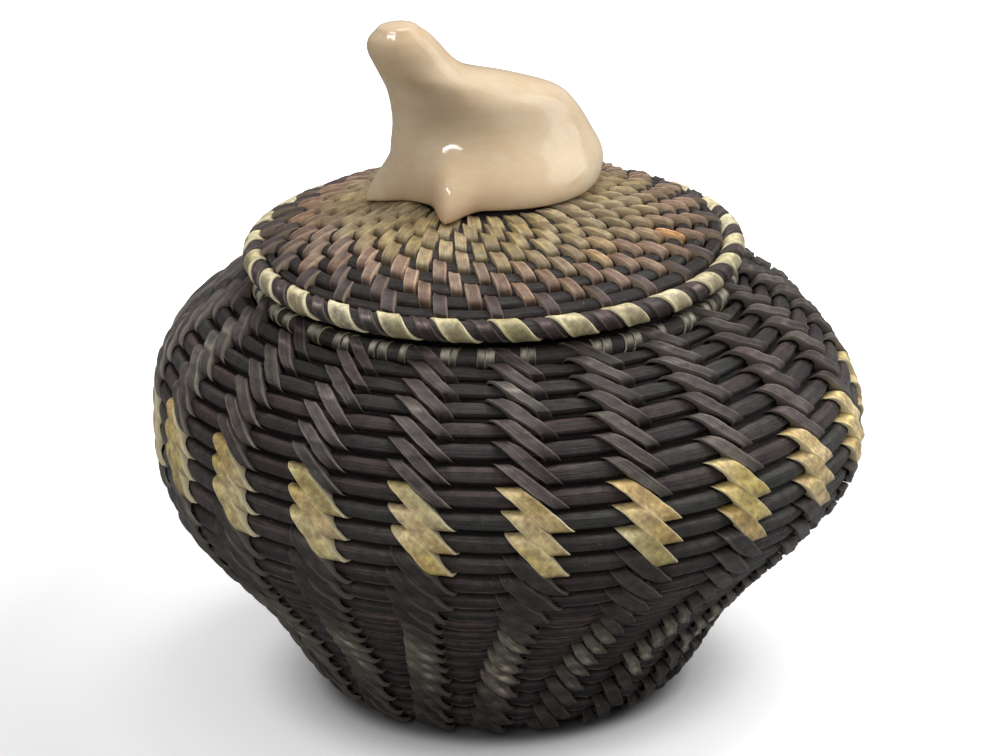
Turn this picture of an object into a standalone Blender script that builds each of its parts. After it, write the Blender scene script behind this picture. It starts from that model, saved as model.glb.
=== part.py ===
"""A lidded baleen basket: one rod coiled and stitched, with a carved seal as the finial.

Metres, +Z up, standing on z = 0, with its front towards -Y and the seal's head towards -X.
"""
import bpy
import bmesh
from math import asin, ceil, cos, floor, log, pi, radians, sin, sqrt, tau
from mathutils import Matrix, Vector

MM = 0.001

# Coiled rod of the vessel
ROD_PITCH = 3.05 * MM
ROD_THINNING = 0.00225
ROD_THICKNESS = 2.1 * MM
ROD_GAP = 0.3 * MM
ROD_BEVEL = 0.42 * MM
ROD_BACK_INSET = 0.2 * MM
THINNEST_ROD = 0.5 * MM

# Outline of the vessel, along the middle of its rods from the starter disc to the mouth
BASE_DISC_RADIUS = 7.8 * MM
BASE_LIFT = 0.06 * MM
BASE_FLAT_RADIUS = 16.3 * MM
BASE_EDGE_RADIUS = 8.6 * MM
FOOT_SLOPE = radians(58)
FOOT_LENGTH = 8.3 * MM
WAIST_RADIUS = 10.1 * MM
UNDERSIDE_SLOPE = radians(48)
UNDERSIDE_LENGTH = 14.9 * MM
BELLY_RADIUS = 16.8 * MM
SHOULDER_SLOPE = radians(148.5)
SHOULDER_LENGTH = 8.3 * MM

# Stitches
COLUMNS = 20
FRONT_COLUMN_ANGLE = radians(4)
STITCH_WIDTH = 3.0 * MM
STITCH_SHARE = 0.27
STITCH_THICKNESS = 0.45 * MM
STITCH_CLEARANCE = 0.35 * MM
STITCH_TUCK = 0.8 * MM
SIDE_CLEARANCE = 0.3 * MM
ROWS_CROSSED = 2
LIGHT_STITCHES = 3
LOWER_STITCH_WIDTH = 1.9 * MM
NARROW_RADIUS = 37.0 * MM
NARROWING_RUN = 5.0 * MM
LOWER_ROWS_PER_TOOTH = 2

# Rim of the vessel
RIM_ROD = 2.4 * MM
RIM_SIDES = 6

# Lid
LID_DISC_RADIUS = 10.8 * MM
LID_PITCH = 2.1 * MM
LID_STEPS = 20
LID_COLUMNS = 26
LID_COLUMN_ANGLE = radians(7)
LID_SWIRL = 1.25
LID_OVERHANG = 0.75 * MM
LID_RISE = 6.8 * MM
LID_RIM_ROD = 2.6 * MM
LID_STITCH_WIDTH = 2.0 * MM
LID_STITCH_SHARE = 0.33
RIM_WRAPS_GAP = 1.35 * MM
SEAT_GAP = 0.3 * MM

# Flange under the lid
FLANGE_CLEARANCE = 0.6 * MM
FLANGE_ROD_HEIGHT = 2.4 * MM
FLANGE_ROD_THICKNESS = 1.8 * MM
FLANGE_TURNS = 2
FLANGE_STEPS = 16

# Starter discs and the finial's peg
DISC_CHAMFER = 0.3 * MM
DISC_SIDES = 20
PEG_RADIUS = 1.5 * MM
PEG_HEAD_RADIUS = 2.6 * MM
PEG_HEAD_HEIGHT = 1.0 * MM
PEG_CLEARANCE = 0.3 * MM
PEG_DEPTH = 6.0 * MM
PEG_SIDES = 16

# Seal, in millimetres: level, front end, rear end and half width of each of its outlines
SEAL_TURN = radians(20)
SEAL_ASIDE = 1.5
SEAL_OUTLINES = (
    (0.0, -11.4, 14.2, 6.8),
    (3.0, -12.2, 15.0, 7.1),
    (5.6, -12.6, 14.1, 7.0),
    (9.0, -12.3, 11.9, 6.4),
    (11.6, -12.5, 9.7, 5.9),
    (13.8, -13.0, 4.8, 5.0),
    (15.4, -13.7, -1.6, 4.6),
    (17.0, -14.4, -4.7, 4.2),
    (19.2, -15.3, -6.6, 4.0),
    (21.0, -13.9, -7.5, 3.1),
    (21.9, -11.9, -9.3, 1.7),
)
SEAL_TOP = 22.3
SEAL_SIDES = 20
FLIPPER_HEIGHT = 6.0
FLIPPER_SPREAD = radians(22)
FLIPPERS = ((radians(149), 5.4), (radians(219), 3.4))


def remove_everything():
    for thing in list(bpy.data.objects):
        bpy.data.objects.remove(thing, do_unlink=True)


def make_material(name, colour, roughness, metallic=0.0):
    material = bpy.data.materials.new(name)
    material.use_nodes = True
    shader = material.node_tree.nodes["Principled BSDF"]
    shader.inputs["Base Color"].default_value = (*colour, 1.0)
    shader.inputs["Roughness"].default_value = roughness
    shader.inputs["Metallic"].default_value = metallic
    return material


def make_object(name, mesh_data, colour, roughness, parent=None, smooth=False):
    """Close a bmesh into a named object with a material of its own."""
    bmesh.ops.recalc_face_normals(mesh_data, faces=mesh_data.faces)
    for face in mesh_data.faces:
        face.smooth = smooth
    mesh = bpy.data.meshes.new(name)
    mesh_data.to_mesh(mesh)
    mesh_data.free()
    thing = bpy.data.objects.new(name, mesh)
    bpy.context.collection.objects.link(thing)
    mesh.materials.append(make_material(name, colour, roughness))
    thing.parent = parent
    return thing


DARK_BALEEN = (0.040, 0.034, 0.032)
BROWN_BALEEN = (0.16, 0.095, 0.065)
PALE_BALEEN = (0.56, 0.43, 0.20)
IVORY = (0.82, 0.71, 0.54)


class Path:
    """A line of straight runs and arcs in the plane of radius and height, read by its length.

    Its outer side is on the right of the way it runs, or on the left when side is -1.
    """

    def __init__(self, radius, height, heading=0.0, side=1):
        self.end = Vector((radius, height))
        self.heading = heading
        self.side = side
        self.length = 0.0
        self.runs = []

    def line(self, length):
        self.runs.append((self.length, self.end.copy(), self.heading, 0.0))
        self.end += length * Vector((cos(self.heading), sin(self.heading)))
        self.length += length
        return self

    def arc(self, radius, to_heading):
        turn = to_heading - self.heading
        bend = (1 if turn > 0 else -1) / radius
        self.runs.append((self.length, self.end.copy(), self.heading, bend))
        self.end = arc_point(self.end, self.heading, bend, abs(turn) * radius)
        self.length += abs(turn) * radius
        self.heading = to_heading
        return self

    def at(self, length):
        """The point at a length, the way that the line runs there and its outer side."""
        start, point, heading, bend = [run for run in self.runs if run[0] <= length or run[0] == 0][-1]
        beyond = length - start
        if bend:
            point = arc_point(point, heading, bend, beyond)
            heading += bend * beyond
        else:
            point = point + beyond * Vector((cos(heading), sin(heading)))
        along = Vector((cos(heading), sin(heading)))
        return point, along, self.side * Vector((along.y, -along.x))


def arc_point(point, heading, bend, length):
    later = heading + bend * length
    return point + Vector((sin(later) - sin(heading), cos(heading) - cos(later))) / bend


def turned(flat, angle):
    """A point of the radius and height plane, turned about Z from the front."""
    return Vector((flat.x * sin(angle), -flat.x * cos(angle), flat.y))


class Coil:
    """A rod wound along a path, with level ends where it thins away.

    The pitch is that of the first turn, and thinning makes every turn narrower than the last.
    """

    def __init__(self, path, end, pitch, steps, angle, hand, thinning=0.0):
        self.path = path
        self.end = end
        self.pitch = pitch
        self.steps = steps
        self.angle = angle
        self.hand = hand
        self.thinning = thinning

    def edge(self, turn):
        """Length along the path of the far edge of the rod at a number of turns."""
        return min(max(self.pitch * turn * (1 - self.thinning * turn), 0.0), self.end)

    def turns_to(self, length):
        """The number of turns at which the far edge of the rod is at a length."""
        plain = length / self.pitch
        return 2 * plain / (1 + sqrt(1 - 4 * self.thinning * plain))

    def angle_at(self, step):
        return self.angle + self.hand * step * tau / self.steps

    def part_turn(self, angle):
        return self.hand * (angle - self.angle) / tau

    def step_at(self, length):
        """The first step whose rod lies wholly beyond a length."""
        return ceil((self.turns_to(length) + 1) * self.steps)

    def first_step(self):
        return ceil(self.turns_to(ROD_GAP + THINNEST_ROD) * self.steps)

    def last_step(self):
        return floor((self.turns_to(self.end - ROD_GAP - THINNEST_ROD) + 1) * self.steps)


def rod_section(path, low, high, thickness):
    """Four corners of a rod that is flat in front, with sloping sides, between two lengths."""
    middle, along, out = path.at((low + high) / 2)
    half = (high - low) / 2
    bevel = min(ROD_BEVEL, 0.4 * half)
    inset = min(ROD_BACK_INSET, 0.2 * half)
    front = thickness / 2 * out
    return [
        middle - (half - bevel) * along + front,
        middle + (half - bevel) * along + front,
        middle + (half - inset) * along - front,
        middle - (half - inset) * along - front,
    ]


def sweep(rings, closed):
    """A tube through rings of corners, with caps unless it closes on itself."""
    mesh = bmesh.new()
    loops = [[mesh.verts.new(corner) for corner in ring] for ring in rings]
    count = len(loops[0])
    pairs = list(zip(loops, loops[1:]))
    if closed:
        pairs.append((loops[-1], loops[0]))
    for one, other in pairs:
        for i in range(count):
            j = (i + 1) % count
            mesh.faces.new((one[i], one[j], other[j], other[i]))
    if not closed:
        mesh.faces.new(loops[0])
        mesh.faces.new(loops[-1])
    return mesh


def coil_stretch(coil, first, last, thickness):
    """The rod between two steps, with a splice gap at its first end."""
    rings = []
    for step in range(first, last + 1):
        turn = step / coil.steps
        low = coil.edge(turn - 1) + ROD_GAP / 2
        high = coil.edge(turn) - ROD_GAP / 2
        angle = coil.angle_at(step)
        section = rod_section(coil.path, low, high, thickness)
        if step == first:
            angle += coil.hand * ROD_GAP / section[0].x
        rings.append([turned(corner, angle) for corner in section])
    return sweep(rings, closed=False)


def ring(path, length, width, thickness, segments, sides):
    """A closed round rod, rounder than the coil, centred on a length of the path."""
    middle, along, out = path.at(length)
    section = []
    for i in range(sides):
        angle = (i + 0.5) * tau / sides
        size = 1 / cos(pi / sides)
        section.append(middle + size / 2 * (width * cos(angle) * along + thickness * sin(angle) * out))
    rings = [[turned(corner, i * tau / segments) for corner in section] for i in range(segments)]
    return sweep(rings, closed=True)


class StitchColumn:
    """Stitches beside one another in one column of a coil, from row to row.

    Each stitch crosses two rows. Its corners lie on the lines between rows, at whole numbers of
    stitch widths from the left side of the column. A column with a swirl is a spiral arm, and one
    with a low width grows narrower towards the foot.
    """

    def __init__(self, coil, angle, width, widest, low_width=None, line_zero=0, rows_per_tooth=1,
                 swirl=0.0):
        self.coil = coil
        self.angle = angle
        self.width = width
        self.widest = widest
        self.low_width = low_width or width
        self.line_zero = line_zero
        self.rows = rows_per_tooth
        self.swirl = swirl

    def on_line(self, line, angle):
        turn = self.line_zero + self.rows * line + self.coil.part_turn(angle)
        return self.coil.path.at(self.coil.edge(turn))

    def place(self, line, across, height):
        """A point on a line between rows, so many stitch widths across and so high above the rods."""
        radius = self.on_line(line, self.angle)[0].x
        full = min(max((radius - NARROW_RADIUS) / NARROWING_RUN, 0.0), 1.0)
        width = min((self.low_width + full * (self.width - self.low_width)) / radius, self.widest)
        rim = self.coil.path.at(self.coil.end)[0].x
        angle = self.angle + self.swirl * log(radius / rim) + (across - 1.5) * width
        flat, _, out = self.on_line(line, angle)
        return turned(flat + (ROD_THICKNESS / 2 + height) * out, angle)


def add_stitches(mesh, column, first, last, tuck=0.0, side_gap=0.0):
    """One body of touching stitches, whose upper ends lie on the lines from first to last."""
    low_line = first - ROWS_CROSSED
    spans = {}
    for line in range(first - 1, last + 1):
        top = [1 if line == first - 1 else 0, 1 if line == last else 2]
        spans[line] = (top, [top[0] + 1, top[1] + 1])

    def trim(line, across):
        if side_gap == 0:
            return across
        if (line, across) in ((last, 1), (last - 1, 2)):
            return across - side_gap
        if (line, across) in ((first - 1, 1), (low_line, 2)):
            return across + side_gap
        return across

    front = {}
    back = {}
    for line in range(low_line, last + 1):
        used = set()
        if line in spans:
            used |= set(spans[line][0])
        if line + 1 in spans:
            used |= set(spans[line + 1][1])
        dip = tuck if line == low_line else 0.0
        for across in range(min(used), max(used) + 1):
            point = column.place(line, trim(line, across), STITCH_CLEARANCE + STITCH_THICKNESS - dip)
            front[line, across] = mesh.verts.new(point)
        inset = 0.5 if max(used) - min(used) > 1 else 0.0
        for side, across in ((0, min(used) + inset), (1, max(used) - inset)):
            point = column.place(line, trim(line, across), STITCH_CLEARANCE - dip)
            back[line, side] = mesh.verts.new(point)

    for line, (top, bottom) in spans.items():
        below = line - 1
        for across in range(top[0], top[1]):
            mesh.faces.new((front[line, across], front[line, across + 1],
                            front[below, across + 2], front[below, across + 1]))
        mesh.faces.new((back[line, 0], back[below, 0], back[below, 1], back[line, 1]))
        mesh.faces.new((front[line, top[0]], front[below, bottom[0]], back[below, 0], back[line, 0]))
        mesh.faces.new((front[line, top[1]], back[line, 1], back[below, 1], front[below, bottom[1]]))
        if below in spans and spans[below][0][0] != bottom[0]:
            mesh.faces.new((front[below, bottom[0]], front[below, bottom[0] - 1], back[below, 0]))
        if line + 1 in spans and spans[line + 1][1][1] != top[1]:
            mesh.faces.new((front[line, top[1] + 1], front[line, top[1]], back[line, 1]))

    mesh.faces.new((front[last, 0], back[last, 0], back[last, 1], front[last, 1]))
    mesh.faces.new((front[low_line, 2], front[low_line, 3], back[low_line, 1], back[low_line, 0]))


def combine(thing, mesh_data, operation):
    """Join closed bodies to an object, or cut them out of it, and keep the result as its mesh."""
    bmesh.ops.recalc_face_normals(mesh_data, faces=mesh_data.faces)
    mesh = bpy.data.meshes.new(thing.name + "_tool")
    mesh_data.to_mesh(mesh)
    mesh_data.free()
    other = bpy.data.objects.new(mesh.name, mesh)
    bpy.context.collection.objects.link(other)
    change = thing.modifiers.new("change", "BOOLEAN")
    change.operation = operation
    change.solver = "EXACT"
    change.object = other
    bpy.context.view_layer.update()
    evaluated = thing.evaluated_get(bpy.context.evaluated_depsgraph_get())
    joined = bpy.data.meshes.new_from_object(evaluated)
    joined.name = thing.name
    thing.modifiers.clear()
    thing.data = joined
    bpy.data.objects.remove(other, do_unlink=True)


def vessel_path():
    """The middle of the rods, from the starter disc out and up to the mouth."""
    path = Path(BASE_DISC_RADIUS + ROD_GAP / 2, BASE_LIFT + ROD_THICKNESS / 2)
    path.line(BASE_FLAT_RADIUS - path.end.x)
    path.arc(BASE_EDGE_RADIUS, FOOT_SLOPE)
    foot_start = path.length
    path.line(FOOT_LENGTH)
    path.arc(WAIST_RADIUS, UNDERSIDE_SLOPE)
    underside_start = path.length
    path.line(UNDERSIDE_LENGTH)
    path.arc(BELLY_RADIUS, SHOULDER_SLOPE)
    belly = path.length - BELLY_RADIUS * (SHOULDER_SLOPE - pi / 2)
    path.line(SHOULDER_LENGTH)
    return path, foot_start, underside_start, belly


def build_vessel():
    path, foot_start, underside_start, belly = vessel_path()
    rim = path.length - RIM_ROD / 2
    coil = Coil(path, rim - RIM_ROD / 2, ROD_PITCH, COLUMNS, FRONT_COLUMN_ANGLE, 1, ROD_THINNING)

    light_bottom = ceil(coil.turns_to(belly))
    light_top = light_bottom + LIGHT_STITCHES - 1
    stretches = {
        "base_coil": (coil.first_step(), coil.step_at(foot_start - BASE_EDGE_RADIUS * FOOT_SLOPE)),
        "foot_coil": (None, coil.step_at(underside_start)),
        "lower_coil": (None, (light_bottom - 1) * COLUMNS),
        "belly_coil": (None, (light_top + 1) * COLUMNS),
        "upper_coil": (None, coil.last_step()),
    }
    made = {}
    begin = None
    for name, (first, last) in stretches.items():
        first = begin if first is None else first
        made[name] = make_object(name, coil_stretch(coil, first, last, ROD_THICKNESS), DARK_BALEEN, 0.5)
        begin = last

    lower = bmesh.new()
    upper = bmesh.new()
    widest = STITCH_SHARE * tau / COLUMNS
    for number in range(COLUMNS):
        angle = coil.angle_at(number)
        column = StitchColumn(coil, angle, STITCH_WIDTH, widest)
        part_turn = coil.part_turn(angle)
        highest = floor(coil.turns_to(coil.end) - part_turn + 0.6)
        add_stitches(upper, column, light_top + 1, highest, tuck=STITCH_TUCK)
        light = bmesh.new()
        add_stitches(light, column, light_bottom, light_top, side_gap=SIDE_CLEARANCE / STITCH_WIDTH)
        make_object(f"light_stitches_{number + 1:02d}", light, PALE_BALEEN, 0.45)
        plain = StitchColumn(coil, angle, STITCH_WIDTH, widest, LOWER_STITCH_WIDTH, light_bottom - 1,
                             LOWER_ROWS_PER_TOOTH)
        rows = light_bottom - 1 + part_turn - coil.turns_to(foot_start)
        first = ROWS_CROSSED - floor(rows / LOWER_ROWS_PER_TOOTH)
        add_stitches(lower, plain, first, 0, tuck=STITCH_TUCK)
    combine(made["foot_coil"], lower, "UNION")
    combine(made["belly_coil"], upper, "UNION")
    make_object("rim_rod", ring(path, rim, RIM_ROD - ROD_GAP, RIM_ROD, COLUMNS, RIM_SIDES), DARK_BALEEN, 0.5)
    return path, rim


def disc(radius, low, high, hole=0.0):
    """A round plate with chamfered rims, with or without a hole through its middle."""
    section = [
        Vector((radius - DISC_CHAMFER, low)),
        Vector((radius, low + DISC_CHAMFER)),
        Vector((radius, high - DISC_CHAMFER)),
        Vector((radius - DISC_CHAMFER, high)),
    ]
    if hole:
        section = [Vector((hole, low)), *section, Vector((hole, high))]
    rings = [[turned(corner, i * tau / DISC_SIDES) for corner in section] for i in range(DISC_SIDES)]
    if hole:
        return sweep(rings, closed=True)
    mesh = bmesh.new()
    loops = [[mesh.verts.new(corner) for corner in ring] for ring in rings]
    for one, other in zip(loops, loops[1:] + loops[:1]):
        for i in range(len(section) - 1):
            mesh.faces.new((one[i], one[i + 1], other[i + 1], other[i]))
    mesh.faces.new([loop[0] for loop in loops])
    mesh.faces.new([loop[-1] for loop in loops])
    return mesh


def lid_path(rim_radius, rim_height):
    """The middle of the lid's rods: an arc of a shallow dome, from the starter disc to the rim."""
    dome = (rim_radius ** 2 + LID_RISE ** 2) / (2 * LID_RISE)
    inner = LID_DISC_RADIUS + ROD_GAP / 2
    height = rim_height + LID_RISE - dome_drop(dome, inner)
    path = Path(inner, height, heading=-asin(inner / dome), side=-1)
    return path.arc(dome, -asin(rim_radius / dome)), dome


def dome_drop(dome, radius):
    return dome - sqrt(dome ** 2 - radius ** 2)


def build_lid(vessel, rim):
    rim_middle, _, _ = vessel.at(rim)
    rim_radius = rim_middle.x + LID_OVERHANG
    rim_height = rim_middle.y + RIM_ROD / 2 + RIM_WRAPS_GAP + LID_RIM_ROD / 2
    path, dome = lid_path(rim_radius, rim_height)
    lid = bpy.data.objects.new("lid", None)
    bpy.context.collection.objects.link(lid)

    coil = Coil(path, path.length - LID_RIM_ROD / 2, LID_PITCH, LID_STEPS, FRONT_COLUMN_ANGLE, -1)
    rods = coil_stretch(coil, coil.first_step(), coil.last_step(), ROD_THICKNESS)
    make_object("lid_coil", rods, DARK_BALEEN, 0.5, lid)
    for number in range(LID_COLUMNS):
        angle = LID_COLUMN_ANGLE + number * tau / LID_COLUMNS
        column = StitchColumn(coil, angle, LID_STITCH_WIDTH, LID_STITCH_SHARE * tau / LID_COLUMNS,
                              swirl=LID_SWIRL)
        lowest = ceil(-coil.part_turn(angle)) + ROWS_CROSSED
        highest = floor(coil.turns_to(coil.end) - coil.part_turn(angle) + 0.5)
        stitches = bmesh.new()
        add_stitches(stitches, column, lowest, highest)
        make_object(f"lid_stitches_{number + 1:02d}", stitches, BROWN_BALEEN, 0.45, lid)
    rod = LID_RIM_ROD - ROD_GAP
    make_object("lid_rim_rod", ring(path, path.length, rod, LID_RIM_ROD, LID_STEPS, RIM_SIDES),
                DARK_BALEEN, 0.5, lid)
    build_flange(path, dome, rim_middle.x - RIM_ROD / 2 - FLANGE_CLEARANCE, lid)
    build_finial(path, dome, lid)


def build_flange(path, dome, outside, lid):
    """Two turns of rod under the lid, which fit inside the mouth."""
    start = path.at(0)[0]
    slope = asin(outside / dome)
    dome_top = start.y + dome_drop(dome, start.x)
    underside = dome_top - dome_drop(dome, outside) - ROD_THICKNESS / 2 / cos(slope)
    down = Path(outside - FLANGE_ROD_THICKNESS / 2, underside - SEAT_GAP, heading=-pi / 2, side=-1)
    pitch = FLANGE_ROD_HEIGHT + ROD_GAP
    down.line(FLANGE_TURNS * pitch)
    coil = Coil(down, down.length, pitch, FLANGE_STEPS, FRONT_COLUMN_ANGLE, -1)
    rods = coil_stretch(coil, coil.first_step(), coil.last_step(), FLANGE_ROD_THICKNESS)
    make_object("lid_flange", rods, DARK_BALEEN, 0.5, lid)


def build_finial(path, dome, lid):
    """The lid's starter disc, the seal that sits on it and the peg that holds the two together."""
    inner = path.at(0)[0]
    low = inner.y - ROD_THICKNESS / 2
    high = inner.y + ROD_THICKNESS / 2 + STITCH_CLEARANCE + STITCH_THICKNESS
    bore = PEG_RADIUS + PEG_CLEARANCE
    make_object("lid_starter_disc", disc(LID_DISC_RADIUS, low, high, bore), IVORY, 0.35, lid)
    seat = high + SEAT_GAP
    seal = make_object("finial_seal", seal_body(seat, dome, inner.x), IVORY, 0.25, lid, smooth=True)
    bore_top = seat + PEG_DEPTH
    socket = peg_body([(bore, seat - PEG_DEPTH), (bore, bore_top)])
    combine(seal, socket, "DIFFERENCE")
    head = low - PEG_CLEARANCE
    outline = [
        (PEG_HEAD_RADIUS, head - PEG_HEAD_HEIGHT),
        (PEG_HEAD_RADIUS, head),
        (PEG_RADIUS, head),
        (PEG_RADIUS, bore_top - PEG_CLEARANCE),
    ]
    make_object("finial_peg", peg_body(outline), IVORY, 0.35, lid, smooth=False)


def peg_body(outline):
    """A turned peg on the Z axis through points of radius and height, closed by flat ends."""
    mesh = bmesh.new()
    loops = []
    for radius, height in outline:
        flat = Vector((radius, height))
        loops.append([mesh.verts.new(turned(flat, i * tau / PEG_SIDES)) for i in range(PEG_SIDES)])
    for low, high in zip(loops, loops[1:]):
        for i in range(PEG_SIDES):
            j = (i + 1) % PEG_SIDES
            mesh.faces.new((low[i], low[j], high[j], high[i]))
    mesh.faces.new(loops[0])
    mesh.faces.new(loops[-1])
    return mesh


def seal_outline(level, front, rear, half_width):
    """One level outline of the seal in its own frame, with flippers at its front corners."""
    points = []
    fade = max(0.0, 1 - level / FLIPPER_HEIGHT) ** 2
    for i in range(SEAL_SIDES):
        angle = i * tau / SEAL_SIDES
        bulge = 0.0
        for corner, reach in FLIPPERS:
            bulge += reach * max(0.0, 1 - ((angle - corner) / FLIPPER_SPREAD) ** 2)
        point = Vector(((front + rear) / 2 + (rear - front) / 2 * cos(angle), half_width * sin(angle)))
        points.append(point + fade * bulge * Vector((cos(angle), sin(angle))) + Vector((0, SEAL_ASIDE)))
    return points


def seal_body(seat, dome, flat_radius):
    """The seal as a stack of level outlines, hollowed underneath to follow the lid's dome."""
    spin = Matrix.Rotation(SEAL_TURN, 3, "Z")
    mesh = bmesh.new()
    base = seal_outline(*SEAL_OUTLINES[0])
    loops = []
    for scale in (0.0, 0.45, 0.75, 1.0):
        ring = []
        for point in base:
            flat = scale * MM * point
            drop = dome_drop(dome, max(flat.length, flat_radius)) - dome_drop(dome, flat_radius)
            ring.append(spin @ Vector((flat.x, flat.y, seat - drop)))
        if scale == 0.0:
            middle = mesh.verts.new(ring[0])
        else:
            loops.append([mesh.verts.new(corner) for corner in ring])
    for level, front, rear, half_width in SEAL_OUTLINES[1:]:
        ring = []
        for point in seal_outline(level, front, rear, half_width):
            ring.append(spin @ Vector((MM * point.x, MM * point.y, seat + MM * level)))
        loops.append([mesh.verts.new(corner) for corner in ring])
    _, front, rear, _ = SEAL_OUTLINES[-1]
    top = mesh.verts.new(spin @ Vector((MM * (front + rear) / 2, 0, seat + MM * SEAL_TOP)))
    for i in range(SEAL_SIDES):
        j = (i + 1) % SEAL_SIDES
        mesh.faces.new((middle, loops[0][j], loops[0][i]))
        mesh.faces.new((top, loops[-1][i], loops[-1][j]))
        for low, high in zip(loops, loops[1:]):
            mesh.faces.new((low[i], low[j], high[j], high[i]))
    return mesh


def build_base_disc():
    make_object("base_starter_disc", disc(BASE_DISC_RADIUS, 0.0, ROD_THICKNESS), IVORY, 0.35)


remove_everything()
vessel, rim = build_vessel()
build_base_disc()
build_lid(vessel, rim)
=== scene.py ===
"""The lidded baleen basket as it looks: coiled rods, every stitch a strip of its own, and a seal.

Lengths are in millimetres up to the making of a mesh, which is in metres, as are the floor, the
lamps and the camera. Angles go round the Z axis from the front (-Y) towards +X.
"""

import random
from collections import namedtuple
from dataclasses import dataclass
from math import asin, ceil, cos, exp, floor, log, pi, radians, sin, sqrt, tau

import bmesh
import bpy
from mathutils import Matrix, Vector, noise


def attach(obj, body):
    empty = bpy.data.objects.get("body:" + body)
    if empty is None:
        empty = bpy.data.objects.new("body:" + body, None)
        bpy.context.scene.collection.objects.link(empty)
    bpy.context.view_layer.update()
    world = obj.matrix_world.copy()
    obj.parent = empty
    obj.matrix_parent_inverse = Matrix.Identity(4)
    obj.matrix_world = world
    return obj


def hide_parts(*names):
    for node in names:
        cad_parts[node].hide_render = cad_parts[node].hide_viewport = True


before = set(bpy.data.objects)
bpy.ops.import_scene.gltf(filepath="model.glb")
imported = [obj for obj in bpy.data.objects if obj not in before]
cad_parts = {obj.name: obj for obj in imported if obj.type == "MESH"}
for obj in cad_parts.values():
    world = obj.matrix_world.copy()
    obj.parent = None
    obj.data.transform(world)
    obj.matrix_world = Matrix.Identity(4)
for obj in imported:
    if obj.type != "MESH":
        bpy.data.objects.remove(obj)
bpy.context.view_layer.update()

MM = 0.001
VESSEL = "vessel"
LID = "lid"

# Sizes shared with the solids
ROD_PITCH = 3.05
ROD_THINNING = 0.00225
ROD_THICKNESS = 2.1
THINNEST_ROD = 0.5
BASE_DISC_RADIUS = 7.8
LID_DISC_RADIUS = 10.8
DISC_GAP = 0.15
BASE_LIFT = 0.06
BASE_FLAT_RADIUS = 16.3
BASE_EDGE_RADIUS = 8.6
FOOT_SLOPE = radians(58)
FOOT_LENGTH = 8.3
WAIST_RADIUS = 10.1
UNDERSIDE_SLOPE = radians(48)
UNDERSIDE_LENGTH = 14.9
BELLY_RADIUS = 16.8
SHOULDER_SLOPE = radians(148.5)
SHOULDER_LENGTH = 8.3
COLUMNS = 20
FRONT_COLUMN_ANGLE = radians(4)
STITCH_WIDTH = 3.05
STITCH_SHARE = 0.27
LOWER_STITCH_WIDTH = 1.85
NARROW_RADIUS = 37.0
NARROWING_RUN = 5.0
LOWER_DRIFT = radians(7)
DRIFT_START = 42.0
DRIFT_RUN = 18.0
LIGHT_STITCHES = 3
RIM_ROD = 2.4
LID_PITCH = 2.1
LID_COLUMNS = 26
LID_COLUMN_ANGLE = radians(7)
LID_SWIRL = 1.25
LID_OVERHANG = 0.75
LID_RISE = 6.8
LID_RIM_ROD = 2.6
LID_TURNS_ON_DISC = 2
RIM_WRAPS_GAP = 1.35
SEAT_GAP = 0.3
SPLICE_GAP = 0.3
FLANGE_CLEARANCE = 0.6
FLANGE_ROD_HEIGHT = 2.4
FLANGE_ROD_THICKNESS = 1.8
FLANGE_TURNS = 2

# Finer shape of the rods: place across from the lower to the upper edge, height, and painted light
# (the upper bevel painted lighter as lit from above, the sides in the grooves painted dark as shade)
GROOVE = 0.60
STEPS = 144
ROD_SECTION = (
    (-1.00, 0.10, 0.03), (-1.00, 0.42, 0.15), (-0.93, 0.72, 1.00), (-0.78, 0.92, 0.95),
    (-0.35, 1.00, 0.95), (0.22, 1.03, 1.00), (0.34, 1.01, 1.50), (0.72, 0.78, 1.85),
    (0.92, 0.48, 0.95), (1.00, 0.10, 0.04), (1.38, -0.36, 0.02), (1.38, -0.64, 0.40),
    (0.88, -1.00, 1.00), (-0.88, -1.00, 1.00), (-1.38, -0.64, 0.40), (-1.38, -0.36, 0.02),
)
FACE_POINT = 4
# Painted bounce light lightens some points of the section on the lower rods, mostly their lower
# edge. Stitches press a rod in and squeeze it narrower. A rod with a smaller half width than the
# last value is thinner too.
PAINTED_LIGHT_POINTS = {2: 1.4, 3: 1.2, 7: 0.22}
PRESSED_DEPTH = 0.30
PRESSED_SQUEEZE = 0.16
LOWER_SQUEEZE = 0.045
NARROWED_ROD = 0.8
SPLICES_PER_TURN = 2.3

# Finer shape of the stitches: rows from the upper end with the height of the strip's face above
# the rod. The strip bends over each rod's upper edge and sinks a little between two rods, where
# its keel fills the groove.
STITCH_THICKNESS = 0.58
KEEL = 0.9
KEEL_ROW = 1.02
KEEL_SPREAD = 0.2
LIFT = (
    (0.00, -1.00), (0.05, -0.34), (0.12, 0.12), (0.24, 0.52), (0.38, 0.74), (0.58, 0.78),
    (0.80, 0.75), (0.94, 0.66), (1.03, 0.60), (1.12, 0.63), (1.24, 0.71), (1.40, 0.78),
    (1.60, 0.75), (1.76, 0.60), (1.88, 0.32), (1.95, -0.20), (2.00, -1.00),
)
LID_LIFT = (
    (0.00, -1.00), (0.05, -0.45), (0.12, 0.02), (0.26, 0.34), (0.50, 0.54), (0.80, 0.66),
    (1.10, 0.72), (1.40, 0.68), (1.65, 0.52), (1.82, 0.26), (1.93, -0.15), (2.00, -1.00),
)
WRAP_LIFT = tuple((i / 10, 0.0) for i in range(21))
# Places across a strip with its height there: hollow, with raised borders
FLAT_FORM = (
    (-1.00, -0.17), (-0.90, 0.03), (-0.55, 0.00), (0.00, -0.05), (0.55, 0.00), (0.90, 0.03),
    (1.00, -0.17),
)
UNDERSIDE = (0.97, -0.97)
UNDERSIDE_LIGHT = 0.35
ROW_LENGTH = 2.6

# Heights of the vessel's strips: how much less on the far side, over the rim and on the base
FAR_SIDE_FLATTER = 0.45
RIM_STRIP_LIFT = 0.55
BASE_STRIP_LIFT = 0.62
BASE_STRIP_RUN = 4.0

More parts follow.
